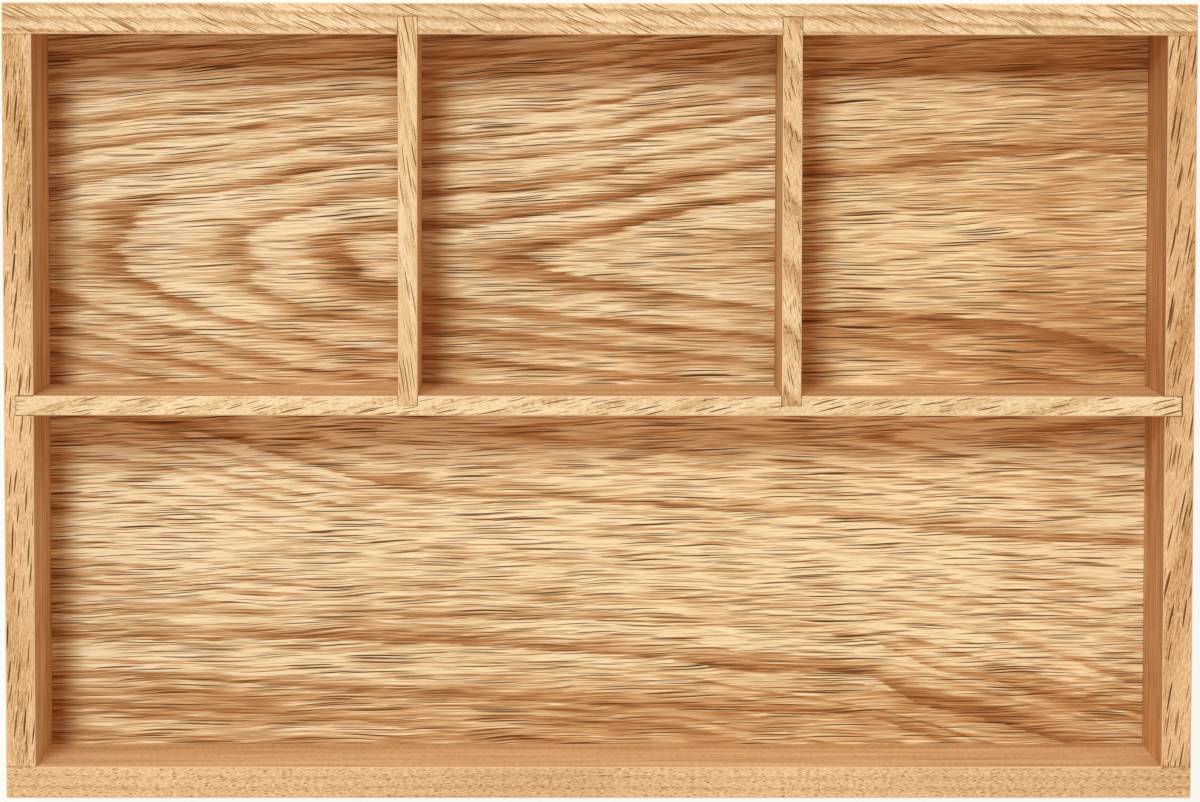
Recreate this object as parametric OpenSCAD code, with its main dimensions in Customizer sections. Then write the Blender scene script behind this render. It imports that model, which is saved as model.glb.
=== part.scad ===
// Wooden organizer tray: four solid rails round a veneered base panel, and three dividers.
// The panel floats in grooves, the dividers stand in housings cut down from the rim,
// and dowels hold the rails' corners.
// Millimetres. The origin is the middle of the footprint, on the table.
// +X is to the right, +Y to the back, +Z up.

/* [Tray] */
// Overall width, left to right
tray_width = 360; // [300:5:420]
// Overall depth, front to back
tray_depth = 241; // [200:1:300]
// Overall height
tray_height = 60; // [50:1:90]

/* [Rails] */
// Thickness of the back and front rails, which run the full width
long_rail_thickness = 9.5; // [8:0.5:14]
// Thickness of the left and right rails, which butt between them
side_rail_thickness = 9; // [8:0.5:14]
// Radius of the sanded edges
edge_radius = 0.6; // [0.3:0.1:1.2]

/* [Dividers] */
// Thickness of each divider
divider_thickness = 6; // [5:0.5:9]
// Front to back size of the wide bay at the front
front_bay_depth = 107; // [70:1:130]
// Depth of the housings cut in the rails for the dividers
rail_housing_depth = 5.5; // [3:0.5:6]
// Depth of the housings cut in the long divider for the short ones
divider_housing_depth = 3; // [1.5:0.5:3.5]

/* [Base panel] */
// Thickness of the panel's core
core_thickness = 3.5; // [2.5:0.5:6]
// Thickness of the veneer on each face of the core
veneer_thickness = 0.5; // [0.3:0.1:1]
// Height of the panel's underside above the table
foot_height = 4; // [3:0.5:8]
// Depth of the grooves cut in the rails for the panel
groove_depth = 4; // [2:0.5:5]

/* [Corner dowels] */
// Diameter of a dowel
dowel_diameter = 4; // [3:0.5:5]
// Length of a dowel
dowel_length = 20; // [16:1:30]
// Length of the part of a dowel that sits in the back or front rail
dowel_seat_depth = 5.5; // [4:0.5:6]
// Height from the panel up to the lower dowel, and from the upper dowel up to the rim
dowel_inset = 12; // [8:1:16]
// Depth of the glue flutes pressed into a dowel
flute_depth = 0.2; // [0.1:0.05:0.3]

/* [Fits] */
// Clearance at each face of a divider in its housing
housing_play = 0.1; // [0.05:0.05:0.2]
// Gap left at the right end of the long divider
long_divider_end_gap = 0.3; // [0.1:0.1:0.6]
// Gap left at the back end of each short divider
short_divider_end_gap = 0.1; // [0.05:0.05:0.3]
// Room left for the panel to swell, at each of its edges
panel_edge_play = 0.5; // [0.2:0.1:1]
// Clearance above the panel in its grooves
groove_play = 0.15; // [0.05:0.05:0.3]
// Clearance all round a dowel
dowel_play = 0.05; // [0.02:0.01:0.1]
// Clearance past each end of a dowel
dowel_end_play = 0.5; // [0.2:0.1:1]

/* [Hidden] */

LEFT = -1;
RIGHT = 1;
FRONT = -1;
BACK = 1;
BACK_ROW_BAYS = 3;
FLUTES = 10;

rim_colour = "#E3BC8C";
divider_colour = "#EBC896";
panel_colour = "#D9AE7E";
core_colour = "#C9A87C";
dowel_colour = "#DDBE92";

// How far a cut runs past the face that it opens
overrun = 1;

inner_width = tray_width - 2 * side_rail_thickness;
inner_depth = tray_depth - 2 * long_rail_thickness;

panel_thickness = core_thickness + 2 * veneer_thickness;
panel_top = foot_height + panel_thickness;
panel_reach = groove_depth - panel_edge_play;
groove_height = panel_thickness + groove_play;
divider_height = tray_height - panel_top;

housing_width = divider_thickness + 2 * housing_play;
long_divider_front_y = front_bay_depth - inner_depth / 2;
long_divider_back_y = long_divider_front_y + divider_thickness;
long_divider_y = (long_divider_front_y + long_divider_back_y) / 2;
long_divider_length = inner_width + 2 * rail_housing_depth - long_divider_end_gap;

// The two short dividers share the inner width out equally among the back row's bays
bay_pitch = (inner_width + divider_thickness) / BACK_ROW_BAYS;
short_divider_x = bay_pitch / 2;
short_divider_front_y = long_divider_back_y - divider_housing_depth;
short_divider_back_y = inner_depth / 2 + rail_housing_depth - short_divider_end_gap;
short_divider_length = short_divider_back_y - short_divider_front_y;

dowel_bore_diameter = dowel_diameter + 2 * dowel_play;
dowel_chamfer = dowel_diameter / 8;
dowel_x = (inner_width + side_rail_thickness) / 2;
dowel_heights = [panel_top + dowel_inset, tray_height - dowel_inset];

$fn = 64;

// A block given by its lower and upper corners
module block(low, high) {
    translate(low)
        cube(high - low);
}

// Takes the sharpness off an edge along +X. The wood lies toward -Y and -Z of the edge.
module edge_round(length) {
    rotate([90, 0, 90])
        linear_extrude(length)
            difference() {
                translate([-edge_radius, -edge_radius])
                    square(edge_radius + overrun);
                translate([-edge_radius, -edge_radius])
                    circle(edge_radius);
            }
}

// The same along the whole length of an outer edge, with its ends run past the wood
module outer_edge_round(length) {
    translate([-length / 2 - overrun, 0, 0])
        edge_round(length + 2 * overrun);
}

// All twelve outer edges of the tray, sanded in one go after the corners are glued
module outer_edges() {
    for (upper = [0, 1])
        translate([0, 0, upper * tray_height])
            mirror([0, 0, 1 - upper]) {
                for (side = [0, 1])
                    mirror([0, side, 0])
                        translate([0, tray_depth / 2, 0])
                            outer_edge_round(tray_width);
                for (side = [0, 1])
                    mirror([side, 0, 0])
                        translate([tray_width / 2, 0, 0])
                            rotate(-90)
                                outer_edge_round(tray_depth);
            }
    for (side_x = [0, 1], side_y = [0, 1])
        mirror([side_x, 0, 0])
            mirror([0, side_y, 0])
                translate([tray_width / 2, tray_depth / 2, tray_height / 2])
                    rotate([0, 90, 0])
                        outer_edge_round(tray_height);
}

// Rounds the upper edge along X of a piece whose wood is on the given side of y
module rim_edge_along_x(y, side, length) {
    translate([-length / 2, y, tray_height])
        mirror([0, side == BACK ? 1 : 0, 0])
            edge_round(length);
}

// Rounds the upper edge along Y of a piece whose wood is on the given side of x
module rim_edge_along_y(x, side, low_y, high_y) {
    translate([x, low_y, tray_height])
        mirror([side == LEFT ? 0 : 1, 0, 0])
            translate([0, high_y - low_y, 0])
                rotate(-90)
                    edge_round(high_y - low_y);
}

// Housing for a short divider, open at the rim, with its faces at the given y values
module short_divider_housing(side, low_y, high_y) {
    translate([side * short_divider_x, 0, 0])
        block(
            [-housing_width / 2, low_y, panel_top],
            [housing_width / 2, high_y, tray_height + overrun]
        );
}

// Housing for the long divider in a side rail, open at the rim and at the inner face
module long_divider_housing(side) {
    translate([side * inner_width / 2, long_divider_y, 0])
        block(
            [-rail_housing_depth, -housing_width / 2, panel_top],
            [rail_housing_depth, housing_width / 2, tray_height + overrun]
        );
}

// Blind bores for the dowels of every corner, in the rails on both sides of the joint
module dowel_bores() {
    for (side_x = [LEFT, RIGHT], side_y = [0, 1], height = dowel_heights)
        mirror([0, side_y, 0])
            translate([
                side_x * dowel_x,
                inner_depth / 2 + dowel_seat_depth + dowel_end_play,
                height
            ])
                rotate([90, 0, 0])
                    cylinder(d = dowel_bore_diameter, h = dowel_length + 2 * dowel_end_play);
}

// Groove for the panel in the back rail's inner face. It stops inside the corners, and a
// straight cutter has left its ends round.
module stopped_groove() {
    straight = inner_width / 2 + panel_reach;
    middle_z = foot_height + groove_height / 2;
    block(
        [-straight, inner_depth / 2 - overrun, foot_height],
        [straight, inner_depth / 2 + groove_depth, foot_height + groove_height]
    );
    for (side = [LEFT, RIGHT])
        translate([side * straight, inner_depth / 2 - overrun, middle_z])
            rotate([-90, 0, 0])
                cylinder(d = groove_height, h = groove_depth + overrun);
}

// Groove for the panel along the whole of the right rail's inner face
module through_groove() {
    block(
        [inner_width / 2 - overrun, -inner_depth / 2 - overrun, foot_height],
        [inner_width / 2 + groove_depth, inner_depth / 2 + overrun, foot_height + groove_height]
    );
}

// Back rail before its housings are cut
module long_rail_blank() {
    difference() {
        block(
            [-tray_width / 2, inner_depth / 2, 0],
            [tray_width / 2, tray_depth / 2, tray_height]
        );
        stopped_groove();
        dowel_bores();
        outer_edges();
        rim_edge_along_x(inner_depth / 2, BACK, inner_width);
    }
}

module back_rail() {
    color(rim_colour)
        difference() {
            long_rail_blank();
            for (side = [LEFT, RIGHT])
                short_divider_housing(
                    side,
                    inner_depth / 2 - overrun,
                    inner_depth / 2 + rail_housing_depth
                );
        }
}

module front_rail() {
    color(rim_colour)
        mirror([0, 1, 0])
            long_rail_blank();
}

// A side rail: the left one is cut as the mirror image of the right one
module side_rail(side) {
    color(rim_colour)
        difference() {
            mirror([side == LEFT ? 1 : 0, 0, 0])
                difference() {
                    block(
                        [inner_width / 2, -inner_depth / 2, 0],
                        [tray_width / 2, inner_depth / 2, tray_height]
                    );
                    through_groove();
                    dowel_bores();
                    outer_edges();
                    rim_edge_along_y(inner_width / 2, RIGHT, -inner_depth / 2, inner_depth / 2);
                }
            long_divider_housing(side);
        }
}

module left_rail() {
    side_rail(LEFT);
}

module right_rail() {
    side_rail(RIGHT);
}

// The long divider is pushed home in the left rail, so its end gap shows at the right
module long_divider() {
    left_end = -inner_width / 2 - rail_housing_depth;
    color(divider_colour)
        difference() {
            block(
                [left_end, long_divider_front_y, panel_top],
                [left_end + long_divider_length, long_divider_back_y, tray_height]
            );
            for (side = [LEFT, RIGHT])
                short_divider_housing(
                    side,
                    short_divider_front_y,
                    long_divider_back_y + overrun
                );
            rim_edge_along_x(long_divider_front_y, BACK, inner_width);
            rim_edge_along_x(long_divider_back_y, FRONT, inner_width);
        }
}

module short_divider(side) {
    half = divider_thickness / 2;
    color(divider_colour)
        translate([side * short_divider_x, 0, 0])
            difference() {
                block(
                    [-half, short_divider_front_y, panel_top],
                    [half, short_divider_back_y, tray_height]
                );
                rim_edge_along_y(-half, RIGHT, long_divider_back_y, inner_depth / 2);
                rim_edge_along_y(half, LEFT, long_divider_back_y, inner_depth / 2);
            }
}

module short_divider_left() {
    short_divider(LEFT);
}

module short_divider_right() {
    short_divider(RIGHT);
}

// One layer of the panel, from its lower face up
module panel_layer(bottom, thickness) {
    half_width = inner_width / 2 + panel_reach;
    half_depth = inner_depth / 2 + panel_reach;
    block(
        [-half_width, -half_depth, bottom],
        [half_width, half_depth, bottom + thickness]
    );
}

module base_core() {
    color(core_colour)
        panel_layer(foot_height + veneer_thickness, core_thickness);
}

module base_face_veneer() {
    color(panel_colour)
        panel_layer(foot_height + veneer_thickness + core_thickness, veneer_thickness);
}

module base_back_veneer() {
    color(panel_colour)
        panel_layer(foot_height, veneer_thickness);
}

// A dowel along +Z, with chamfered ends and straight flutes that let the glue out
module fluted_dowel() {
    radius = dowel_diameter / 2;
    difference() {
        rotate_extrude()
            polygon([
                [0, 0],
                [radius - dowel_chamfer, 0],
                [radius, dowel_chamfer],
                [radius, dowel_length - dowel_chamfer],
                [radius - dowel_chamfer, dowel_length],
                [0, dowel_length]
            ]);
        for (flute = [0 : FLUTES - 1])
            rotate(flute * 360 / FLUTES)
                translate([radius, 0, -overrun])
                    cylinder(r = flute_depth, h = dowel_length + 2 * overrun);
    }
}

module corner_dowels() {
    color(dowel_colour)
        for (side_x = [LEFT, RIGHT], side_y = [0, 1], height = dowel_heights)
            mirror([0, side_y, 0])
                translate([side_x * dowel_x, inner_depth / 2 + dowel_seat_depth, height])
                    rotate([90, 0, 0])
                        fluted_dowel();
}

back_rail();
front_rail();
left_rail();
right_rail();
long_divider();
short_divider_left();
short_divider_right();
base_core();
base_face_veneer();
base_back_veneer();
corner_dowels();
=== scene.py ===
"""Finishes the oak organizer tray: solid oak rails and dividers, a flat-sawn veneered panel,
hidden hardwood dowels, and the pale studio floor, lamp and camera that show it."""

import math

import bpy
from bpy.props import FloatProperty, FloatVectorProperty, PointerProperty
from mathutils import Matrix, Vector


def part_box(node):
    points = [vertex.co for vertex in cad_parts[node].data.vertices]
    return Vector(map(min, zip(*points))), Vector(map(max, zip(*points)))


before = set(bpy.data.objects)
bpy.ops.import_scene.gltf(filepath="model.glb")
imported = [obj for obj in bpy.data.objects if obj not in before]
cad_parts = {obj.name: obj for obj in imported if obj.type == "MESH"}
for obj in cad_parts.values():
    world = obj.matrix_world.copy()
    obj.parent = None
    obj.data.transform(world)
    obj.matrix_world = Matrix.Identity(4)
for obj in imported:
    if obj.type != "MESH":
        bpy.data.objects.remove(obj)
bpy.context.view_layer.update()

bl_info = {
    "name": "Oak organizer tray",
    "version": (1, 0, 0),
    "blender": (4, 5, 0),
    "location": "View3D > Sidebar > Tray",
    "description": "Finishes the rails, dividers, panel and dowels of an oak tray",
    "category": "Object",
}

MM = 0.001
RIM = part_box("back_rail")[1].z / MM
# The curves over the panel run from minus to plus these, in mm.
HALF_LENGTH = 180.0
HALF_WIDTH = 120.0
# The fill is a little warm, and the lamp makes up for it.
WARM_FILL = (1.26, 1.0, 0.84)
# The two wide windows that fill the shadows: which way each lies, its share of the fill, and
# what a window of strength 1 there gives a level floor next to an even sky of strength 1.
FILL = (((0.0, -0.8, 0.6), 0.6, 0.32), ((0.0, 0.954, 0.3), 0.4, 0.2113))
SEEN_WHITE = (0.97, 0.97, 0.955, 1)
# How much of the paper is seen as plain white; the rest of it takes the tray's shadow.
PAPER_GLOW = 0.93
# Places in metres, and turns in degrees.
LAMP_PLACE = (-0.67, 1.23, 3.91)
CAMERA_PLACE = (-0.0138, 0.1086, 1.592)
CAMERA_TURNS = (("Z", -0.046), ("Y", 0.518), ("X", 4.035))


def linear(code):
    """Linear red, green and blue of an sRGB hex colour."""
    parts = [int(code[i : i + 2], 16) / 255 for i in (1, 3, 5)]
    return [p / 12.92 if p <= 0.04045 else ((p + 0.055) / 1.055) ** 2.4 for p in parts]


def add(tree, kind, inputs=(), points=None, **settings):
    """Adds a shader node with its settings, and gives it back.
    inputs go by place or name, each a value, a socket, or a node for its first output;
    points are the stops of a ramp or the points of a curve."""
    node = tree.nodes.new("ShaderNode" + kind)
    for key, value in settings.items():
        setattr(node, key, value)
    for key, value in inputs.items() if isinstance(inputs, dict) else enumerate(inputs):
        value = value.outputs[0] if isinstance(value, bpy.types.Node) else value
        if isinstance(value, bpy.types.NodeSocket):
            tree.links.new(value, node.inputs[key])
        elif value is not None:
            node.inputs[key].default_value = value
    if points and kind == "ValToRGB":
        stops = node.color_ramp.elements
        while len(stops) < len(points):
            stops.new(0.5)
        for stop, (place, shade) in zip(stops, points):
            stop.position = place
            stop.color = (*shade, 1) if hasattr(shade, "__len__") else (shade, shade, shade, 1)
    elif points:
        line = node.mapping.curves[0].points
        while len(line) < len(points):
            line.new(0.5, 0.5)
        for dot, place in zip(line, points):
            dot.location = place
        node.mapping.update()
    return node


def sum_of(tree, *terms):
    """Adds up numbers."""
    total = terms[0]
    for term in terms[1:]:
        total = add(tree, "Math", [total, term], operation="ADD")
    return total


def curve_of(tree, value, low, high, points):
    """A curve over value, from low to high; points are in value's and the result's own
    units."""
    place = add(tree, "MapRange", [value, low, high, 0.0, 1.0])
    tops = [p[1] for p in points]
    least, most = min(tops), max(tops)
    dots = [((x - low) / (high - low), (y - least) / (most - least)) for x, y in points]
    shape = add(tree, "FloatCurve", {"Value": place}, points=dots)
    return add(tree, "Math", [shape, most - least, least], operation="MULTIPLY_ADD")


# Where brown stands on the scale from the palest wood, 0, to the bottom of a pore, 1.
BROWN_AT = 0.6
# A year's growth, from its start at 0 to the next at 1: how brown it is.
EARLY_BAND = (
    (0.0, 0.68), (0.06, 0.12), (0.12, 0.0), (0.48, 0.0), (0.66, 0.35), (0.83, 0.8), (0.96, 1.0),
    (1.0, 0.92),
)
# How each board, and the backing veneer, was cut. Lengths are in mm and angles in degrees.
# along: the axis that the grain follows. colours: palest wood, brown of the bands, bottom of a
# pore. flank: how the board's faces are tinted next to its edges; this tint is painted light and
# shade on the upright faces, and on the front rail it is a painted brightening. pith: where the
# log's middle lay, across and down from the board's top. rings: their spacing. ring_slope and
# pore_slope: how far the ring lines and the open pores run across the board's edge instead of
# along it. wave: how far the rings sway. pores: length, thickness, share and spacing of the large
# open vessels.
# specks: the same of the fine ones. band: how strong the brown bands are. tone: how far the wood
# between them is from its palest, at the board's low and high end. streak and grit: how strong
# the fine streaks and the grit are. joints: how deep each end stands in its housing.
BOARDS = {
    "back_rail": {
        "along": "X", "seed": 3.1, "colours": ("#FBDBAE", "#B98650", "#A26E3A"),
        "flank": (1.0, 0.96, 0.92),
        "pith": (-190.0, -70.0), "rings": 3.8, "ring_slope": -1.5, "wave": 2.6,
        "pore_slope": -25.0, "pores": (13.0, 0.56, 0.90, 0.235), "specks": (1.2, 0.42, 1.0, 0.28),
        "band": 0.5, "tone": (0.2, 0.2), "streak": 0.5, "grit": 0.12, "joints": (0.0, 0.0),
    },
    "front_rail": {
        "along": "X", "seed": 11.7, "colours": ("#F7CE9E", "#BF8D56", "#9A6636"),
        # The front rail's flank tint is painted light: it makes the upright faces brighter.
        "flank": (1.14, 1.22, 1.26),
        "pith": (-260.0, -60.0), "rings": 3.2, "ring_slope": 0.3, "wave": 0.8,
        "pore_slope": 4.0, "pores": (2.4, 0.40, 0.70, 0.26), "specks": (2.2, 0.40, 0.85, 0.28),
        "band": 0.22, "tone": (0.27, 0.27), "streak": 0.4, "grit": 0.2, "joints": (0.0, 0.0),
    },
    "left_rail": {
        "along": "Y", "seed": 23.4, "colours": ("#F8D09F", "#B98248", "#6C421C"),
        "flank": (0.98, 0.97, 1.0),
        "pith": (-50.0, -230.0), "rings": 3.6, "ring_slope": 3.0, "wave": 1.0,
        "pore_slope": 4.5, "pores": (12.0, 0.68, 1.0, 0.225), "specks": (1.6, 0.40, 0.9, 0.26),
        "band": 0.3, "tone": (0.16, 0.34), "streak": 0.6, "grit": 0.14, "joints": (0.3, 0.3),
    },
    "right_rail": {
        "along": "Y", "seed": 37.9, "colours": ("#F5C997", "#B67E46", "#6E4016"),
        "flank": (0.97, 0.88, 0.82),
        "pith": (60.0, -210.0), "rings": 4.0, "ring_slope": 5.0, "wave": 1.2,
        "pore_slope": 9.5, "pores": (13.0, 0.72, 1.00, 0.235), "specks": (1.6, 0.40, 0.9, 0.26),
        "band": 0.3, "tone": (0.24, 0.32), "streak": 0.6, "grit": 0.14, "joints": (0.3, 0.3),
    },
    "long_divider": {
        "along": "X", "seed": 41.2, "colours": ("#FCDDB0", "#B9864B", "#7A4A1E"),
        "flank": (1.04, 0.98, 0.92),
        "pith": (-150.0, -90.0), "rings": 7.0, "ring_slope": 19.0, "wave": 1.5,
        "pore_slope": 11.0, "pores": (11.0, 0.55, 0.95, 0.205), "specks": (1.3, 0.42, 1.0, 0.28),
        "band": 0.24, "tone": (0.16, 0.16), "streak": 0.45, "grit": 0.1, "joints": (5.5, 5.2),
    },
    "short_divider_left": {
        "along": "Y", "seed": 53.6, "colours": ("#F8D6A6", "#C8985E", "#94602A"),
        "flank": (1.0, 0.96, 0.92),
        "pith": (-160.0, -40.0), "rings": 5.0, "ring_slope": -9.0, "wave": 0.8,
        "pore_slope": -9.0, "pores": (15.0, 0.46, 0.90, 0.22), "specks": (1.4, 0.40, 0.7, 0.24),
        "band": 0.25, "tone": (0.25, 0.25), "streak": 0.6, "grit": 0.08, "joints": (3.0, 5.5),
    },
    "short_divider_right": {
        "along": "Y", "seed": 67.3, "colours": ("#FBD8A8", "#C08B54", "#7A4C20"),
        "flank": (1.0, 0.96, 0.92),
        "pith": (-120.0, -60.0), "rings": 17.0, "ring_slope": -42.0, "wave": 1.8,
        "pore_slope": -12.0, "pores": (7.0, 0.50, 0.80, 0.24), "specks": (1.2, 0.42, 1.0, 0.30),
        "band": 0.5, "tone": (0.25, 0.25), "streak": 0.6, "grit": 0.12, "joints": (3.0, 5.5),
    },
    "base_back_veneer": {
        "along": "X", "seed": 83.9, "colours": ("#F5D4A4", "#B37C46", "#6A4018"),
        "flank": (1.0, 1.0, 1.0),
        "pith": (-260.0, -40.0), "rings": 6.0, "ring_slope": 1.0, "wave": 3.0,
        "pore_slope": 1.0, "pores": (18.0, 0.48, 1.00, 0.225), "specks": (6.0, 0.36, 0.8, 0.24),
        "band": 0.45, "tone": (0.2, 0.25), "streak": 0.9, "grit": 0.1, "joints": (0.0, 0.0),
    },
}
# What the solid boards share, and then the face veneer's own values, with flank as the tint of
# its golden part.
# quiet: how strong the streaks are that the fibres make. uneven: how much the years differ.
# ragged: how far a ring line jumps from one row of fibres to the next, in years. streak_length:
# length of the fine streaks. grit_size: length and thickness of the grit. fleck: how dark the
# fine vessels are. second: length of the fainter open pores next to the large ones'. lane and
# stripe: width of the soft stripes on an edge and on a flank. broad and stripe_gain: how strong
# they are on these.
SOLID_OAK = {
    "quiet": 1.0, "uneven": 0.6, "ragged": 0.08, "streak_length": 12.0, "grit_size": (1.3, 0.4),
    "fleck": 0.45, "second": 0.6, "lane": 2.2, "stripe": 6.0, "broad": 1.0, "stripe_gain": 8.0,
}
VENEER = {
    "flank": (1.03, 1.0, 0.93),
    "pores": (24.0, 0.42, 1.0, 0.235), "specks": (15.0, 0.30, 1.0, 0.25),
    "band": 0.62, "streak": 0.95, "streak_length": 50.0, "grit": 0.24, "grit_size": (16.0, 0.3),
    "fleck": 0.44, "second": 0.8, "uneven": 0.5, "ragged": 0.068,
    "lane": 1.2, "stripe": 1.2, "stripe_gain": 1.0,
}


class OakFinish(bpy.types.PropertyGroup):
    """Colours and fine sizes that all the oak shares."""

    veneer_pale: FloatVectorProperty(
        name="Veneer latewood", description="Pale wood between the veneer's brown bands",
        subtype="COLOR", size=3, min=0, max=1, default=linear("#FEE6B8"),
    )
    veneer_tan: FloatVectorProperty(
        name="Veneer earlywood", description="Brown bands of fine pores in the veneer",
        subtype="COLOR", size=3, min=0, max=1, default=linear("#A4622C"),
    )
    veneer_pore: FloatVectorProperty(
        name="Veneer pores", description="Open pores of the veneer",
        subtype="COLOR", size=3, min=0, max=1, default=linear("#4E2C06"),
    )
    fibre: FloatProperty(
        name="Fibre streak", description="Thickness of the finest streaks of the grain",
        unit="LENGTH", default=0.42 * MM, min=0.1 * MM, max=2 * MM,
    )
    pore_depth: FloatProperty(
        name="Pore depth", description="How deep the open pores are",
        unit="LENGTH", default=0.09 * MM, min=0, max=0.5 * MM,
    )
    roughness: FloatProperty(
        name="Oiled sheen", description="Roughness of the matt oiled wood",
        subtype="FACTOR", default=0.52, min=0, max=1,
    )


class StudioSetup(bpy.types.PropertyGroup):
    """The floor, the lamp and the camera's lens."""

    floor_colour: FloatVectorProperty(
        name="Floor", description="Colour of the floor",
        subtype="COLOR", size=3, min=0, max=1, default=linear("#FBFBF5"),
    )
    floor_size: FloatProperty(
        name="Floor size", description="Side of the square floor",
        unit="LENGTH", default=9.0, min=1, max=40,
    )
    lamp_share: FloatProperty(
        name="Lamp share",
        description="Share of the light that comes from the lamp, not from all around",
        subtype="FACTOR", default=0.54, min=0, max=1,
    )
    lamp_width: FloatProperty(
        name="Lamp width", description="Width of the soft lamp; it is half as deep again",
        unit="LENGTH", default=0.58, min=0.05, max=3,
    )
    lens: FloatProperty(
        name="Lens", description="Focal length in millimetres on a 36 mm wide sensor",
        default=152.43, min=20, max=400,
    )


def grain_axes(tree, along, middle):
    """Place in the board, in mm: along the grain, across the edge, and down from the rim.
    edge is 1 on faces that look up or down, end is 1 on the board's ends, and arris is 1 on its
    rounded edges."""
    coord = add(tree, "TexCoord")
    local = coord.outputs["Object"]
    place = add(tree, "VectorMath", {0: local, "Scale": 1 / MM}, operation="SCALE")
    x, y, z = add(tree, "SeparateXYZ", [place]).outputs
    length, width = (x, y) if along == "X" else (y, x)
    across = add(tree, "Math", [width, middle], operation="SUBTRACT")
    down = add(tree, "Math", [z, RIM], operation="SUBTRACT")
    facing = add(tree, "SeparateXYZ", [coord.outputs["Normal"]]).outputs
    steep = add(tree, "Math", [facing[2]], operation="ABSOLUTE")
    edge = add(tree, "Math", [steep, 0.6], operation="GREATER_THAN")
    lengthwise = add(tree, "Math", [facing[0 if along == "X" else 1]], operation="ABSOLUTE")
    end = add(tree, "Math", [lengthwise, 0.6], operation="GREATER_THAN")
    over = add(tree, "MapRange", [steep, 0.97, 0.85, 0.0, 1.0])
    under = add(tree, "MapRange", [steep, 0.1, 0.3, 0.0, 1.0])
    arris = add(tree, "Math", [over, under], operation="MULTIPLY")
    return length, across, down, edge, end, arris


def cells(tree, run, side, step, seed):
    """Place in a pattern whose cells are step mm long and wide on the face."""
    place = add(tree, "CombineXYZ", [run, side, 0.0])
    return add(
        tree, "VectorMath", [place, (1 / step[0], 1 / step[1], 0.0), (seed, seed * 1.7, 0.0)],
        operation="MULTIPLY_ADD",
    )


def streaks_at(tree, run, side, step, seed, gain, detail=2.0):
    """Streaks step mm long and wide, lighter and darker by about gain."""
    place = cells(tree, run, side, step, seed)
    noise = add(
        tree, "TexNoise", {"Vector": place, "Scale": 1.0, "Detail": detail, "Roughness": 0.6},
        noise_dimensions="2D",
    )
    return add(tree, "Math", [noise, 4 * gain, -2 * gain], operation="MULTIPLY_ADD")


def pores_at(tree, run, side, length, thickness, share, seed, pitch=0.22):
    """Open pores: spindles up to length and thickness mm, 1 in their middle and 0 outside.
    The second result is 1 in the pale lips beside them."""
    flat_part, lip_reach = 0.78, 2.4
    place = cells(tree, run, side, (length / (2 * pitch), thickness / (2 * pitch)), seed)
    spots = add(
        tree, "TexVoronoi", {"Vector": place, "Scale": 1.0, "Randomness": 1.0},
        voronoi_dimensions="2D",
    )
    luck = add(tree, "SeparateColor", [spots.outputs["Color"]])
    least = add(tree, "Math", [luck.outputs[0], pitch * 0.5, pitch * 0.5], operation="MULTIPLY_ADD")
    reach = add(tree, "Math", [least, share], operation="MULTIPLY")
    core = add(tree, "Math", [reach, flat_part], operation="MULTIPLY")
    depth = add(tree, "Math", [luck.outputs[1], 0.35, 0.75], operation="MULTIPLY_ADD")
    hole = add(tree, "MapRange", [spots.outputs["Distance"], reach, core, 0.0, depth])
    wide = add(tree, "Math", [reach, lip_reach], operation="MULTIPLY")
    lips = add(tree, "MapRange", [spots.outputs["Distance"], wide, reach, 0.0, 1.0])
    return hole, lips


def pith_rings(tree, cut, length, across, down, edge):
    """Number of the growth ring at each place, counted out from the pith."""
    sway = streaks_at(tree, length, across, (90.0, 14.0), cut["seed"], cut["wave"] / 2)
    tilt = math.tan(math.radians(cut["ring_slope"]))
    run = add(tree, "Math", [edge, length], operation="MULTIPLY")
    slip = add(tree, "Math", [run, -tilt], operation="MULTIPLY")
    side = sum_of(tree, across, -cut["pith"][0], slip, sway)
    depth = add(tree, "Math", [length, 0.03, -cut["pith"][1]], operation="MULTIPLY_ADD")
    deep = sum_of(tree, down, depth)
    spot = add(tree, "CombineXYZ", [side, deep, 0.0])
    far = add(tree, "VectorMath", [spot], operation="LENGTH")
    return add(tree, "Math", [far.outputs["Value"], cut["rings"]], operation="DIVIDE")


def tone_scale(pale, brown, pore):
    """Stops from the palest wood over brown, at BROWN_AT, to the bottom of a pore, at 1. Wood
    soaks up light as it gets deeper, so the tones between are products and stay warm."""
    stops = []
    for k in range(5):
        shade = [p ** (1 - k / 4) * b ** (k / 4) for p, b in zip(pale, brown)]
        stops.append((BROWN_AT * k / 4, shade))
    for k in (1, 2):
        shade = [b ** (1 - k / 2) * d ** (k / 2) for b, d in zip(brown, pore)]
        stops.append((BROWN_AT + (1 - BROWN_AT) * k / 2, shade))
    return stops


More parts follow.
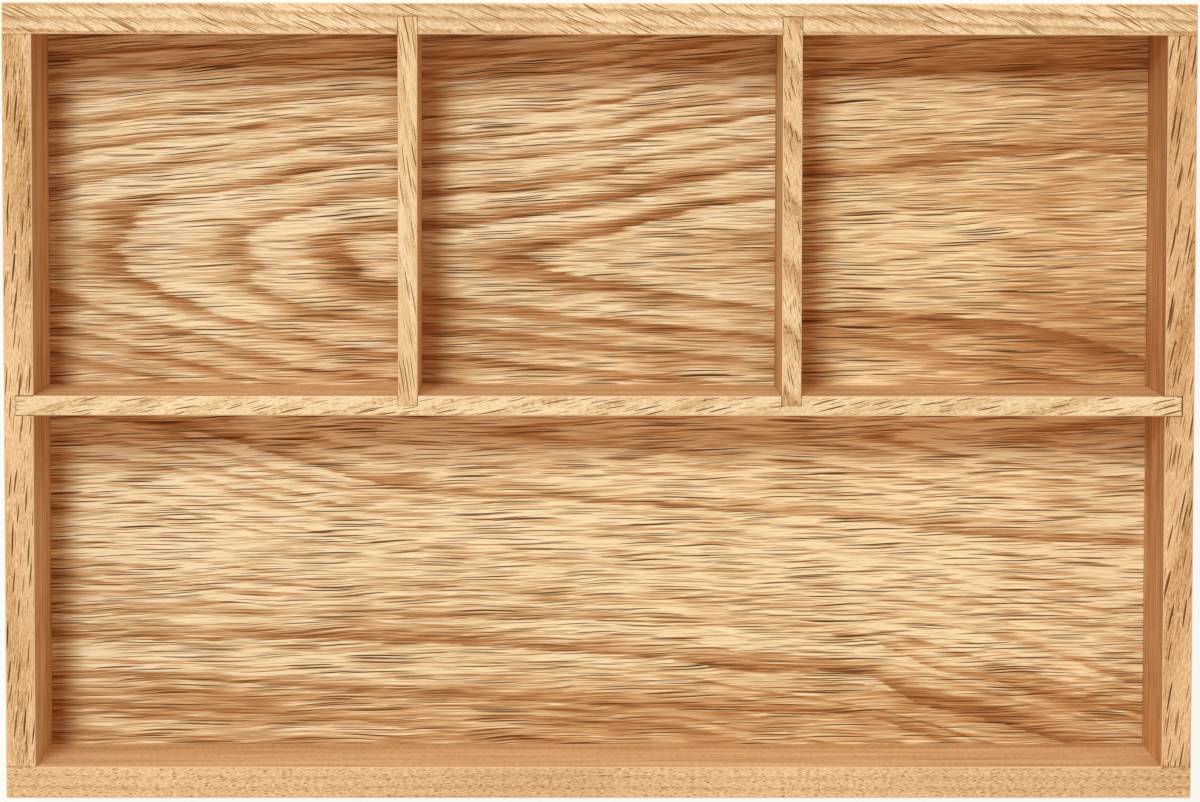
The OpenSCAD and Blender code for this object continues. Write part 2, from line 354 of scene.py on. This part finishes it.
def glue_line(tree, joints, axes, low, high, half, seed):
    """1 in the thin dark line around a housed end, or across the butted end of a rail, on the rim.
    low and high are the board's ends and half is half its thickness, in mm."""
    length, across, _, edge = axes[:4]
    from_low = add(tree, "Math", [length, low], operation="SUBTRACT")
    from_high = add(tree, "Math", [high, length], operation="SUBTRACT")
    ends = add(tree, "Math", [from_low, from_high], operation="MINIMUM")
    off = add(tree, "Math", [across], operation="ABSOLUTE")
    inward = add(tree, "Math", [half, off], operation="SUBTRACT")
    rim = add(tree, "Math", [ends, inward], operation="MINIMUM")
    line = add(tree, "MapRange", [rim, 0.1, 0.32, 1.0, 0.0])
    in_low = add(tree, "Math", [from_low, joints[0]], operation="LESS_THAN")
    in_high = add(tree, "Math", [from_high, joints[1]], operation="LESS_THAN")
    housed = add(tree, "Math", [in_low, in_high], operation="MAXIMUM")
    broken = add(tree, "Math", [streaks_at(tree, length, across, (2.0, 2.0), seed, 1.0), 0.75],
                 operation="ADD", use_clamp=True)
    shown = add(tree, "Math", [line, housed], operation="MULTIPLY")
    shown = add(tree, "Math", [shown, broken], operation="MULTIPLY")
    return add(tree, "Math", [shown, edge], operation="MULTIPLY")


def along_the_grain(tree, axes, slip, seed):
    """Place on the face that is seen, in mm, along its fibres and across them."""
    length, across, down, edge, end = axes[:5]
    bend = streaks_at(tree, length, across, (38.0, 9.0), seed + 5.0, 0.6, 1.0)
    line = sum_of(tree, across, slip, bend)
    # On the board's ends the grain is seen end on, so pores are dots there and not lines.
    dots = add(tree, "Math", [across, 20.0], operation="MULTIPLY")
    run = add(tree, "Mix", [end, None, length, dots])
    side = add(tree, "Mix", [edge, None, down, line])
    return run, side


def early_wood(tree, cut, run, side, rings):
    """0 in each year's pale wood and up to 1 in its brown band of fine pores."""
    # Ring boundaries are ragged, because each fibre row starts its own pores.
    rag = streaks_at(tree, run, side, (22.0, 0.55), cut["seed"] + 9.0, cut["ragged"])
    count = sum_of(tree, rings, rag)
    ring = add(tree, "Math", [count], operation="FRACT")
    year = add(tree, "Math", [count], operation="FLOOR")
    growth = add(tree, "TexWhiteNoise", {"W": year}, noise_dimensions="1D")
    weakest = 0.95 - 0.5 * cut["uneven"]
    vigour = add(tree, "Math", [growth, cut["uneven"], weakest], operation="MULTIPLY_ADD")
    band = add(tree, "ValToRGB", [ring], points=EARLY_BAND)
    early = add(tree, "Math", [band, vigour], operation="MULTIPLY")
    if "strong" in cut:
        early = add(tree, "Math", [early, cut["calm"]], operation="MULTIPLY")
        early = add(tree, "Math", [early, cut["strong"]], operation="MAXIMUM")
    return early


def fibres(tree, cut, finish, run, side, early):
    """Fine streaks, faint in the pale wood and strong in the brown bands, and grit."""
    seed = cut["seed"]
    size = (cut["streak_length"], finish.fibre / MM)
    plain = streaks_at(tree, run, side, size, seed + 13.0, 0.7 * cut["streak"])
    strong = add(tree, "Math", [early, 0.75, 0.22], operation="MULTIPLY_ADD")
    strong = add(tree, "Math", [strong, cut["quiet"]], operation="MULTIPLY")
    # Short fibres, drawn a little coarser than they are, give the wood its grit.
    grit = streaks_at(tree, run, side, cut["grit_size"], seed + 15.0, cut["grit"], 0.0)
    return add(tree, "Math", [plain, strong, grit], operation="MULTIPLY_ADD")


def soft_stripes(tree, cut, run, side, edge):
    """A flank shows its growth rings as wide soft stripes; an edge shows them narrow and faint."""
    wider = cut["lane"] - cut["stripe"]
    stripe = add(tree, "Math", [edge, wider, cut["stripe"]], operation="MULTIPLY_ADD")
    lane = add(tree, "Math", [side, stripe], operation="DIVIDE")
    broad = streaks_at(tree, run, lane, (80.0, 1.0), cut["seed"] + 17.0, 0.09 * cut["streak"])
    gain = add(tree, "Mix", [edge, None, cut["stripe_gain"], cut["broad"]])
    return add(tree, "Math", [broad, gain], operation="MULTIPLY")


def vessels(tree, cut, run, side, edge, early):
    """The open pores, the pale lips beside them, and the fine vessels that crowd in the brown
    bands."""
    seed = cut["seed"]
    size, thick, share, pitch = cut["pores"]
    large, lips = pores_at(tree, run, side, size, thick, share, seed + 23.0, pitch)
    size *= cut["second"]
    more, lips_more = pores_at(tree, run, side, size, thick * 0.7, share, seed + 29.0, pitch)
    size, thick, share, pitch = cut["specks"]
    dense = add(tree, "Math", [early, 0.7 * share, 0.3 * share], operation="MULTIPLY_ADD")
    small, _ = pores_at(tree, run, side, size, thick, dense, seed + 31.0, pitch)
    lip = add(tree, "Math", [lips, lips_more], operation="MAXIMUM")
    faint = add(tree, "Math", [more, 0.62], operation="MULTIPLY")
    open_pores = add(tree, "Math", [large, faint], operation="MAXIMUM")
    # A flank is cut along its pores, so they lie shallow in it.
    shallow = add(tree, "Math", [edge, 0.35, 0.65], operation="MULTIPLY_ADD")
    open_pores = add(tree, "Math", [open_pores, shallow], operation="MULTIPLY")
    return open_pores, lip, small


def oak_skin(tree, cut, finish, axes, slip, rings):
    """Builds the wood from its ring count: bands, fibres, pores, sheen and relief.
    cut holds the values explained above, and sockets: tone; tinted, where flank's tint lies; and
    some have strong, listed bands, calm, how strong the others stay, and glue, dark lines."""
    edge, arris = axes[3], axes[5]
    run, side = along_the_grain(tree, axes, slip, cut["seed"])
    early = early_wood(tree, cut, run, side, rings)
    fine = fibres(tree, cut, finish, run, side, early)
    broad = soft_stripes(tree, cut, run, side, edge)
    cloud = streaks_at(tree, run, side, (70.0, 20.0), cut["seed"] + 19.0, 0.12, 1.0)
    brown_part = add(tree, "Math", [early, cut["band"], cut["tone"]], operation="MULTIPLY_ADD")
    open_pores, lip, small = vessels(tree, cut, run, side, edge, early)
    pale_lip = add(tree, "Math", [lip, -0.12], operation="MULTIPLY")
    tan = add(tree, "Math", [sum_of(tree, brown_part, fine, broad, cloud, pale_lip), 0.0],
              operation="ADD", use_clamp=True)
    # One scale of tones from the palest wood over brown to the bottom of a pore, so that a pore
    # that is half seen is a rich brown and not a grey.
    wood = add(tree, "Math", [tan, BROWN_AT], operation="MULTIPLY")
    fleck = add(tree, "Math", [small, cut["fleck"], wood], operation="MULTIPLY_ADD")
    dark = add(tree, "Math", [open_pores, fleck], operation="MAXIMUM")
    # Sanding leaves the rounded arrises a little paler than the flat wood beside them, and they are
    # painted paler still: a painted highlight along the edges.
    sanding_and_painted_highlight = add(tree, "Math", [arris, -0.9, 1.0], operation="MULTIPLY_ADD")
    dark = add(tree, "Math", [dark, sanding_and_painted_highlight], operation="MULTIPLY")
    if "glue" in cut:
        dark = add(tree, "Math", [dark, cut["glue"]], operation="MAXIMUM")
    skin = add(tree, "ValToRGB", [dark], points=tone_scale(*cut["colours"]))
    # On the boards the flank tint lies on their upright faces as painted light and shade; on the
    # veneer it is the golden part's own tone.
    skin = add(tree, "Mix", {0: cut["tinted"], 6: skin, 7: (*cut["flank"], 1)},
               data_type="RGBA", blend_type="MULTIPLY")
    dull = add(tree, "Math", [dark, 0.25, finish.roughness], operation="MULTIPLY_ADD")
    relief = add(tree, "Math", [fine, -0.1], operation="MULTIPLY")
    height = add(tree, "Math", [relief, open_pores], operation="SUBTRACT")
    bump = add(tree, "Bump", {"Strength": 0.6, "Distance": finish.pore_depth, "Height": height})
    surface = add(
        tree, "BsdfPrincipled",
        {"Base Color": skin.outputs[2], "Roughness": dull, "IOR": 1.45, "Specular IOR Level": 0.3,
         "Normal": bump.outputs[0]},
    )
    add(tree, "OutputMaterial", [surface])


def blank_material(name):
    """A material with an empty node tree."""
    made = bpy.data.materials.new(name)
    made.use_nodes = True
    made.node_tree.nodes.clear()
    return made


def oiled_oak(node):
    """Straight-grained oak, planed, sanded and oiled matt: pale honey wood with brown open pores
    that run with the grain, darker bands where each year's large pores lie, and a soft dull
    sheen."""
    cut = BOARDS[node]
    low, high = (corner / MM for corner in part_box(node))
    middle = (low + high) / 2
    lie, over = (0, 1) if cut["along"] == "X" else (1, 0)
    made = blank_material("oiled_oak_" + node)
    tree = made.node_tree
    axes = grain_axes(tree, cut["along"], middle[over])
    slope = math.tan(math.radians(cut["pore_slope"]))
    slip = add(tree, "Math", [axes[0], -slope], operation="MULTIPLY")
    half = (high[over] - low[over]) / 2
    # The boards' flanks keep a tint of their own, which is painted light and shade on these upright
    # faces.
    painted_light_sides = add(tree, "Math", [1.0, axes[3]], operation="SUBTRACT")
    cut = dict(
        cut, **SOLID_OAK, tinted=painted_light_sides, colours=[linear(c) for c in cut["colours"]],
        tone=add(tree, "MapRange", [axes[0], low[lie], high[lie], *cut["tone"]]),
        glue=glue_line(tree, cut["joints"], axes, low[lie], high[lie], half, cut["seed"]),
    )
    oak_skin(tree, cut, bpy.context.scene.tray_oak, axes, slip, pith_rings(tree, cut, *axes[:4]))
    return made


def flat_sawn_figure(tree, x, y):
    """Ring count of the veneer's leaf: nested arches that open to the right in the back bays,
    and long lines that fall to the right in the front bay. The curves were placed one by one."""
    spread = curve_of(tree, x, -HALF_LENGTH, HALF_LENGTH, [
        (-180, 0.0), (-145, 1.0), (-108, 2.0), (-76, 3.0), (-16, 4.0), (43, 4.7), (115, 5.2),
        (180, 5.6)])
    upper = curve_of(tree, x, -HALF_LENGTH, HALF_LENGTH, [
        (-180, 58), (-145, 55), (-108, 51), (-76, 48), (-16, 43), (20, 47), (80, 52), (180, 55)])
    lower = curve_of(tree, x, -HALF_LENGTH, HALF_LENGTH, [
        (-180, 36), (-145, 36), (-108, 34), (-76, 35), (-16, 38), (20, 38), (80, 36), (180, 33)])
    above = add(tree, "Math", [y, upper], operation="SUBTRACT")
    above = add(tree, "Math", [above, 0.0], operation="MAXIMUM")
    below = add(tree, "Math", [lower, y], operation="SUBTRACT")
    below = add(tree, "Math", [below, 0.0], operation="MAXIMUM")
    out = sum_of(tree, above, below)
    count = curve_of(tree, out, 0.0, 160.0, [
        (0, 0.0), (5, 0.3), (10, 0.75), (15, 1.25), (20, 1.8), (30, 3.0), (40, 4.4), (60, 7.7),
        (100, 15.5), (160, 28.0)])
    # In the front bay the lines fall early in its back half and late in its front half.
    front_back = curve_of(tree, x, -HALF_LENGTH, HALF_LENGTH, [
        (-180, 2.0), (-145, 2.4), (-100, 4.4), (-76, 5.7), (-52, 6.6), (-4, 7.4), (43, 8.0),
        (91, 8.8), (127, 9.8), (180, 10.6)])
    front_fore = curve_of(tree, x, -HALF_LENGTH, HALF_LENGTH, [
        (-180, 2.4), (-76, 2.6), (-28, 3.0), (19.5, 3.7), (50, 4.7), (79, 5.4), (95, 6.0),
        (115, 7.1), (138, 8.4), (180, 10.6)])
    fore = add(tree, "MapRange", [y, -38.0, -78.0, 0.0, 1.0], interpolation_type="SMOOTHSTEP")
    front = add(tree, "Mix", [fore, None, front_back, front_fore])
    near = add(tree, "MapRange", [y, 0.0, -16.0, 0.0, 1.0], interpolation_type="SMOOTHSTEP")
    swap = add(tree, "Math", [front, spread], operation="SUBTRACT")
    both = add(tree, "Math", [swap, near, spread], operation="MULTIPLY_ADD")
    wander = streaks_at(tree, x, y, (70.0, 9.0), 4.4, 0.12)
    rings = sum_of(tree, add(tree, "Math", [both, count], operation="SUBTRACT"), wander)
    # In the front bay the rings are close and uneven: wide and narrow years follow each other.
    years = add(tree, "TexNoise", {"W": rings, "Scale": 0.55, "Detail": 1.0}, noise_dimensions="1D")
    uneven = add(tree, "Math", [years, 1.6, -0.8], operation="MULTIPLY_ADD")
    return add(tree, "Math", [uneven, near, rings], operation="MULTIPLY_ADD")


def strong_years(tree, x, y, ragged, bands):
    """A few dark early bands, sharp on one side and fading away on the other."""
    best = None
    for width, strength, points in bands:
        line = curve_of(tree, x, -HALF_LENGTH, HALF_LENGTH, points)
        above = add(tree, "Math", [sum_of(tree, y, ragged), line], operation="SUBTRACT")
        if width < 0:
            above = add(tree, "Math", [above, -1.0], operation="MULTIPLY")
            width = -width
        rise = add(tree, "MapRange", [above, -0.4, 0.2, 0.0, strength])
        fade = add(tree, "MapRange", [above, 0.2, width, 1.0, 0.0])
        band = add(tree, "Math", [rise, fade], operation="MULTIPLY")
        best = add(tree, "Math", [best, band], operation="MAXIMUM") if best else band
    return best


def leaf_tone_and_painted_shade(tree, x, y, behind, right_bay):
    """How much browner the veneer's leaf is from place to place, together with painted shade and
    light:
    darker at the foot of the front rail and behind the long divider, partly the leaf's own brown
    and partly painted shade, painted shadow strips beside the left rail and the short dividers, and
    painted light that makes the long divider's shadow in the front bay paler.
    """
    # Across the panel: partly the leaf's own brown, partly painted shade at the foot of the front
    # rail (-120 to -90 mm) and behind the long divider (3 to 20 mm), and painted light in the long
    # divider's shadow in the front bay (-14 to -2 mm).
    across = curve_of(tree, y, -HALF_WIDTH, HALF_WIDTH, [
        (-120, 0.24), (-101, 0.22), (-90, 0.06), (-80, -0.06), (-63, -0.14), (-45, -0.12),
        (-28, -0.06), (-14, -0.08), (-2, -0.08), (3, 0.16), (12, 0.16), (20, 0.1), (30, 0.04),
        (45, 0.0), (60, 0.0), (90, 0.03), (120, 0.05)])
    along = curve_of(tree, x, -HALF_LENGTH, HALF_LENGTH, [
        (-180, 0.0), (50, 0.0), (75, 0.06), (120, 0.1), (150, 0.2), (180, 0.2)])
    right = add(tree, "Math", [right_bay, along], operation="MULTIPLY")
    # Painted shadow: a darker strip on the floor beside the left rail.
    left = add(tree, "MapRange", [x, -168.0, -158.0, 0.2, 0.0])
    # Painted shadow: darker floor beside each short divider in the back bays.
    beside = curve_of(tree, x, -HALF_LENGTH, HALF_LENGTH, [
        (-180, 0.0), (-68, 0.0), (-60, 0.15), (-48, 0.15), (-36, 0.0), (50, 0.0), (58, 0.16),
        (68, 0.16), (80, 0.0), (180, 0.0)])
    beside = add(tree, "Math", [behind, beside], operation="MULTIPLY")
    return sum_of(tree, across, right, left, beside, 0.1)


# Width in mm, below 0 where the band fades toward the front, strength, and course in mm of the
# strongest bands in the front bay.
STRONG_BANDS = (
    (5.5, 1.0, [
        (-180, -8), (-145, -10), (-100, -20), (-76, -27), (-52, -32), (-4, -34.7), (43, -37.8),
        (91, -41.4), (127, -46), (180, -49.5)]),
    (7.5, 1.1, [
        (-180, -78), (-147, -78.3), (-76, -78.3), (-28, -80.6), (19.5, -84.2), (43, -87.5),
        (82, -89.1), (93, -93.8), (104, -99.2), (126, -104.6), (146, -110.6), (180, -122)]),
    (5.0, 0.9, [
        (-180, -70), (-60, -71), (20, -73), (82, -77.7), (90, -80.4), (104, -86.5), (112, -89.1),
        (125, -91.1), (136, -94.8), (149, -97.2), (170, -101.5), (180, -103)]),
    (4.0, 0.7, [
        (-180, -58), (-60, -62), (20, -66), (82, -70), (122, -76.4), (136, -79.7), (149, -84.4),
        (157, -88), (172, -93), (180, -95)]),
    (3.5, 0.5, [
        (-180, -44), (-100, -48), (0, -55), (60, -60), (105, -69), (122, -71.7), (138, -73),
        (157, -74.4), (180, -77)]),
    (3.5, 0.8, [
        (-180, -90), (-123, -91.4), (-52, -96), (0, -98.5), (40, -100), (85, -102.6), (96, -105.9),
        (109, -110.6), (180, -140)]),
    (3.0, 0.8, [
        (-180, -99), (-100, -102.1), (-38, -108), (0, -112), (180, -130)]),
)
# The same in the right back bay.
RIGHT_BANDS = (
    (7.0, 0.95, [
        (-180, 50), (64, 66.6), (79, 66.8), (94, 68.5), (112, 71.6), (128, 73.8), (148, 74.8),
        (180, 74)]),
    (3.5, 0.4, [
        (-180, 70), (65, 78), (110, 79.5), (150, 82), (180, 83)]),
    (6.0, 0.7, [
        (-180, 95), (64, 97.5), (94, 98.5), (125, 99.5), (180, 101)]),
    (-9.0, 0.95, [
        (-180, 28), (65, 25.4), (79, 25.1), (106, 23.9), (127, 22), (138, 19.9), (149, 17.4),
        (160, 13.9), (180, 7)]),
    (-7.0, 0.8, [
        (-180, 40), (60, 21.5), (72, 20.2), (90, 17), (111, 12), (131, 7.5), (149, 3.4),
        (180, -4)]),
    (4.0, 0.35, [
        (-180, 44), (64, 44), (100, 45), (150, 44), (180, 44)]),
)


def leaf_lean(tree, x, y):
    """How far the fibres have run off the long side's direction: hardly in the front bay, and
    rising to the right in the back bays, most of all at their back left."""
    lean = curve_of(tree, y, -HALF_WIDTH, HALF_WIDTH, [
        (-120, 0.015), (-4, 0.018), (4, 0.01), (40, 0.02), (60, 0.045), (120, 0.06)])
    square = add(tree, "Math", [x, x], operation="MULTIPLY")
    along = add(tree, "Math", [square, -1 / 900, x], operation="MULTIPLY_ADD")
    slip = add(tree, "Math", [lean, along], operation="MULTIPLY")
    return add(tree, "Math", [slip, -1.0], operation="MULTIPLY")


def oak_veneer(name, seed):
    """Flat-sawn oak veneer, sanded and oiled matt: cream arches and brown bands of fine pores
    under long dark dashes of open pores, all running along the tray."""
    made = blank_material(name)
    tree = made.node_tree
    axes = grain_axes(tree, "X", 0.0)
    x, y = axes[:2]
    rings = flat_sawn_figure(tree, x, y)
    finish = bpy.context.scene.tray_oak
    # The back bays' part of the leaf begins under the long divider.
    behind = add(tree, "MapRange", [y, -4.0, 4.0, 0.0, 1.0])
    right_bay = add(tree, "MapRange", [x, 50.0, 66.0, 0.0, 1.0])
    right_bay = add(tree, "Math", [behind, right_bay], operation="MULTIPLY")
    # The right back bay, and partly so the right end of the front bay, is calmer and more golden.
    front_right = add(tree, "MapRange", [x, -60.0, 60.0, 0.0, 0.6])
    front_right = add(tree, "Mix", [behind, None, front_right, 0.0])
    golden = add(tree, "Math", [right_bay, front_right], operation="MAXIMUM")
    # The strongest bands: those of the right back bay there, and the others elsewhere.
    rag = streaks_at(tree, x, y, (16.0, 0.6), seed + 41.0, 0.8)
    there = strong_years(tree, x, y, rag, RIGHT_BANDS)
    there = add(tree, "Math", [there, right_bay], operation="MULTIPLY")
    elsewhere = add(tree, "Math", [1.0, right_bay], operation="SUBTRACT")
    strong = strong_years(tree, x, y, rag, STRONG_BANDS)
    strong = add(tree, "Math", [strong, elsewhere, there], operation="MULTIPLY_ADD")
    calm = curve_of(tree, y, -HALF_WIDTH, HALF_WIDTH, [
        (-120, 0.55), (-20, 0.55), (-12, 0.6), (4, 0.75), (25, 0.85), (38, 1.12), (62, 1.12),
        (80, 0.92), (120, 0.85)])
    stripes = add(tree, "MapRange", [y, -14.0, 2.0, 1.45, 1.0])
    cut = dict(
        VENEER, seed=seed, colours=(finish.veneer_pale, finish.veneer_tan, finish.veneer_pore),
        # This tone carries painted shade and light as well as the leaf's own brown.
        tone=leaf_tone_and_painted_shade(tree, x, y, behind, right_bay), strong=strong, tinted=golden,
        calm=add(tree, "Mix", [right_bay, None, calm, 0.25]),
        quiet=add(tree, "Math", [golden, -0.4, 1.0], operation="MULTIPLY_ADD"),
        broad=add(tree, "Mix", [golden, None, stripes, 0.7]),
    )
    oak_skin(tree, cut, finish, axes, leaf_lean(tree, x, y), rings)
    return made


def cross_banded_core():
    """Plain hardwood plies, glued crosswise: thin pale and brown layers seen on the panel's
    edge."""
    made = blank_material("cross_banded_core")
    tree = made.node_tree
    length, across, down = grain_axes(tree, "X", 0.0)[:3]
    layer = add(tree, "Math", [down, 0.9], operation="DIVIDE")
    ply = add(tree, "Math", [layer], operation="FRACT")
    step = add(tree, "Math", [ply, 0.5], operation="GREATER_THAN")
    long_grain = streaks_at(tree, length, across, (20.0, 0.5), 7.0, 0.3)
    end_grain = streaks_at(tree, length, across, (0.5, 20.0), 8.0, 0.3)
    both = add(tree, "Mix", [step, None, long_grain, end_grain])
    grain = add(tree, "Math", [both, 0.5], operation="ADD", use_clamp=True)
    pale, brown = ((*linear(code), 1) for code in ("#DDBE8F", "#B08A5C"))
    wood = add(tree, "Mix", {0: grain, 6: pale, 7: brown}, data_type="RGBA")
    bump = add(tree, "Bump", {"Strength": 0.4, "Distance": 0.05 * MM, "Height": grain})
    surface = add(tree, "BsdfPrincipled", {
        "Base Color": wood.outputs[2], "Roughness": 0.7, "IOR": 1.5, "Normal": bump.outputs[0]})
    add(tree, "OutputMaterial", [surface])
    return made


def fluted_beech():
    """Beech dowel stock, turned and fluted: even pinkish wood with short fine brown flecks."""
    made = blank_material("fluted_beech")
    tree = made.node_tree
    length, across, down = grain_axes(tree, "Y", 0.0)[:3]
    grain = add(tree, "Math", [streaks_at(tree, length, across, (9.0, 0.4), 2.0, 0.3, 3.0), 0.5],
                operation="ADD", use_clamp=True)
    flecks, _ = pores_at(tree, length, sum_of(tree, across, down), 1.6, 0.25, 0.9, 6.0)
    fleck = add(tree, "Math", [flecks, 0.45], operation="MULTIPLY")
    pale, pink, brown = ((*linear(code), 1) for code in ("#E6C49A", "#CFA276", "#A06B42"))
    wood = add(tree, "Mix", {0: grain, 6: pale, 7: pink}, data_type="RGBA")
    skin = add(tree, "Mix", {0: fleck, 6: wood.outputs[2], 7: brown}, data_type="RGBA")
    bump = add(tree, "Bump", {"Strength": 0.4, "Distance": 0.05 * MM, "Height": grain})
    surface = add(tree, "BsdfPrincipled", {
        "Base Color": skin.outputs[2], "Roughness": 0.6, "IOR": 1.5, "Normal": bump.outputs[0]})
    add(tree, "OutputMaterial", [surface])
    return made


def coat(node, made):
    """Gives a CAD node its one finish."""
    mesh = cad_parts[node].data
    mesh.materials.clear()
    mesh.materials.append(made)


class TRAY_OT_finish_rails(bpy.types.Operator):
    """Finishes the four rails in oiled oak"""

    bl_idname = "tray.finish_rails"
    bl_label = "Finish the rails"

    def execute(self, context):
        for node in ("back_rail", "front_rail", "left_rail", "right_rail"):
            coat(node, oiled_oak(node))
        return {"FINISHED"}


class TRAY_OT_finish_dividers(bpy.types.Operator):
    """Finishes the long divider and the two short ones in paler oiled oak"""

    bl_idname = "tray.finish_dividers"
    bl_label = "Finish the dividers"

    def execute(self, context):
        for node in ("long_divider", "short_divider_left", "short_divider_right"):
            coat(node, oiled_oak(node))
        return {"FINISHED"}


class TRAY_OT_finish_panel(bpy.types.Operator):
    """Finishes the base panel: face veneer, core and back veneer"""

    bl_idname = "tray.finish_panel"
    bl_label = "Finish the panel"

    def execute(self, context):
        coat("base_face_veneer", oak_veneer("oak_face_veneer", 71.3))
        coat("base_core", cross_banded_core())
        coat("base_back_veneer", oiled_oak("base_back_veneer"))
        return {"FINISHED"}


class TRAY_OT_finish_dowels(bpy.types.Operator):
    """Finishes the corner dowels in fluted beech"""

    bl_idname = "tray.finish_dowels"
    bl_label = "Finish the dowels"

    def execute(self, context):
        coat("corner_dowels", fluted_beech())
        return {"FINISHED"}


class TRAY_OT_set_stage(bpy.types.Operator):
    """Lays the pale floor and sets the lamp, the light all around and the camera"""

    bl_idname = "tray.set_stage"
    bl_label = "Set the stage"

    def execute(self, context):
        scene = context.scene
        setup = scene.tray_studio
        half = setup.floor_size / 2
        mesh = bpy.data.meshes.new("studio_floor")
        corners = [(-half, -half, 0), (half, -half, 0), (half, half, 0), (-half, half, 0)]
        mesh.from_pydata(corners, [], [(0, 1, 2, 3)])
        floor = bpy.data.objects.new("studio_floor", mesh)
        scene.collection.objects.link(floor)
        mesh.materials.append(self.paper_floor(setup))
        self.light_all_around(scene, 1 - setup.lamp_share)
        self.soft_lamp(scene, setup)
        self.camera(scene, setup)
        scene.view_settings.view_transform = "Standard"
        return {"FINISHED"}

    def paper_floor(self, setup):
        """White studio paper, matt: it reads as white and keeps a faint shadow of the tray."""
        made = blank_material("white_studio_paper")
        tree = made.node_tree
        ray = add(tree, "LightPath").outputs
        seen = add(tree, "Math", [ray["Is Camera Ray"], ray["Is Glossy Ray"]], operation="MAXIMUM")
        seen = add(tree, "Math", [seen, ray["Is Transmission Ray"]], operation="MAXIMUM")
        share = add(tree, "Math", [seen, PAPER_GLOW], operation="MULTIPLY")
        paper = add(tree, "BsdfDiffuse", [(*setup.floor_colour, 1)])
        glow = add(tree, "Emission", [(*setup.floor_colour, 1), 1.0])
        both = add(tree, "MixShader", [share, paper, glow])
        add(tree, "OutputMaterial", [both])
        return made

    def light_all_around(self, scene, strength):
        """Soft light from wide windows in front of the tray and behind it; the camera sees it as
        plain white."""
        world = bpy.data.worlds.new("studio")
        scene.world = world
        world.use_nodes = True
        tree = world.node_tree
        tree.nodes.clear()
        ray = add(tree, "LightPath").outputs
        seen = add(
            tree, "Math", [ray["Is Camera Ray"], ray["Is Transmission Ray"]], operation="MAXIMUM")
        way = add(tree, "TexCoord").outputs["Generated"]
        lobes = []
        for aim, share, whole in FILL:
            toward = add(tree, "VectorMath", [way, aim], operation="DOT_PRODUCT")
            ahead = add(tree, "Math", [toward.outputs["Value"], 0.0], operation="MAXIMUM")
            lobe = add(tree, "Math", [ahead, 2.0], operation="POWER")
            lobes.append(add(tree, "Math", [lobe, strength * share / whole], operation="MULTIPLY"))
        level = sum_of(tree, *lobes)
        soft = add(tree, "Background", [(*WARM_FILL, 1), level])
        white = add(tree, "Background", [SEEN_WHITE, 1.0])
        both = add(tree, "MixShader", [seen, soft, white])
        add(tree, "OutputWorld", [both])

    def soft_lamp(self, scene, setup):
        """One round soft lamp, high up behind the tray's back left corner."""
        place = Vector(LAMP_PLACE)
        data = bpy.data.lights.new("soft_lamp", "AREA")
        data.shape = "ELLIPSE"
        # The lamp is as cool as the fill is warm, so that together they are white.
        data.color = [(1 - (1 - setup.lamp_share) * warm) / setup.lamp_share for warm in WARM_FILL]
        data.size = setup.lamp_width
        data.size_y = setup.lamp_width * 1.5
        # A flat lamp of P watts gives P cos / (pi d2); an even sky of strength 1 gives pi.
        far = place.length
        data.energy = setup.lamp_share * math.pi**2 * far**3 / place.z
        lamp = bpy.data.objects.new("soft_lamp", data)
        scene.collection.objects.link(lamp)
        lamp.location = place
        lamp.rotation_mode = "QUATERNION"
        lamp.rotation_quaternion = (-place).to_track_quat("-Z", "Y")

    def camera(self, scene, setup):
        """The photo's view: 1.5 m above the rim, a little behind the middle, looking down."""
        data = bpy.data.cameras.new("camera")
        data.lens = setup.lens
        data.sensor_width = 36
        data.clip_start = 0.05
        data.clip_end = 40
        data.dof.use_dof = False
        camera = bpy.data.objects.new("camera", data)
        scene.collection.objects.link(camera)
        turn = Matrix.Identity(3)
        for axis, degrees in CAMERA_TURNS:
            turn = turn @ Matrix.Rotation(math.radians(degrees), 3, axis)
        camera.matrix_world = Matrix.Translation(CAMERA_PLACE) @ turn.transposed().to_4x4()
        scene.camera = camera


class TRAY_PT_panel(bpy.types.Panel):
    """Lists the tray's finishes and its stage"""

    bl_label = "Oak tray"
    bl_idname = "TRAY_PT_panel"
    bl_space_type = "VIEW_3D"
    bl_region_type = "UI"
    bl_category = "Tray"

    def draw(self, context):
        layout = self.layout
        for group in (context.scene.tray_oak, context.scene.tray_studio):
            box = layout.box()
            for name in group.bl_rna.properties.keys():
                if name not in ("rna_type", "name"):
                    box.prop(group, name)
        for step in STEPS:
            layout.operator(step.bl_idname)


STEPS = (
    TRAY_OT_finish_rails,
    TRAY_OT_finish_dividers,
    TRAY_OT_finish_panel,
    TRAY_OT_finish_dowels,
    TRAY_OT_set_stage,
)
CLASSES = (OakFinish, StudioSetup, *STEPS, TRAY_PT_panel)


def register():
    for kind in CLASSES:
        bpy.utils.register_class(kind)
    bpy.types.Scene.tray_oak = PointerProperty(type=OakFinish)
    bpy.types.Scene.tray_studio = PointerProperty(type=StudioSetup)


def unregister():
    del bpy.types.Scene.tray_studio
    del bpy.types.Scene.tray_oak
    for kind in reversed(CLASSES):
        bpy.utils.unregister_class(kind)


def main():
    register()
    for step in STEPS:
        getattr(bpy.ops.tray, step.bl_idname.split(".")[1])()


if __name__ == "__main__":
    main()
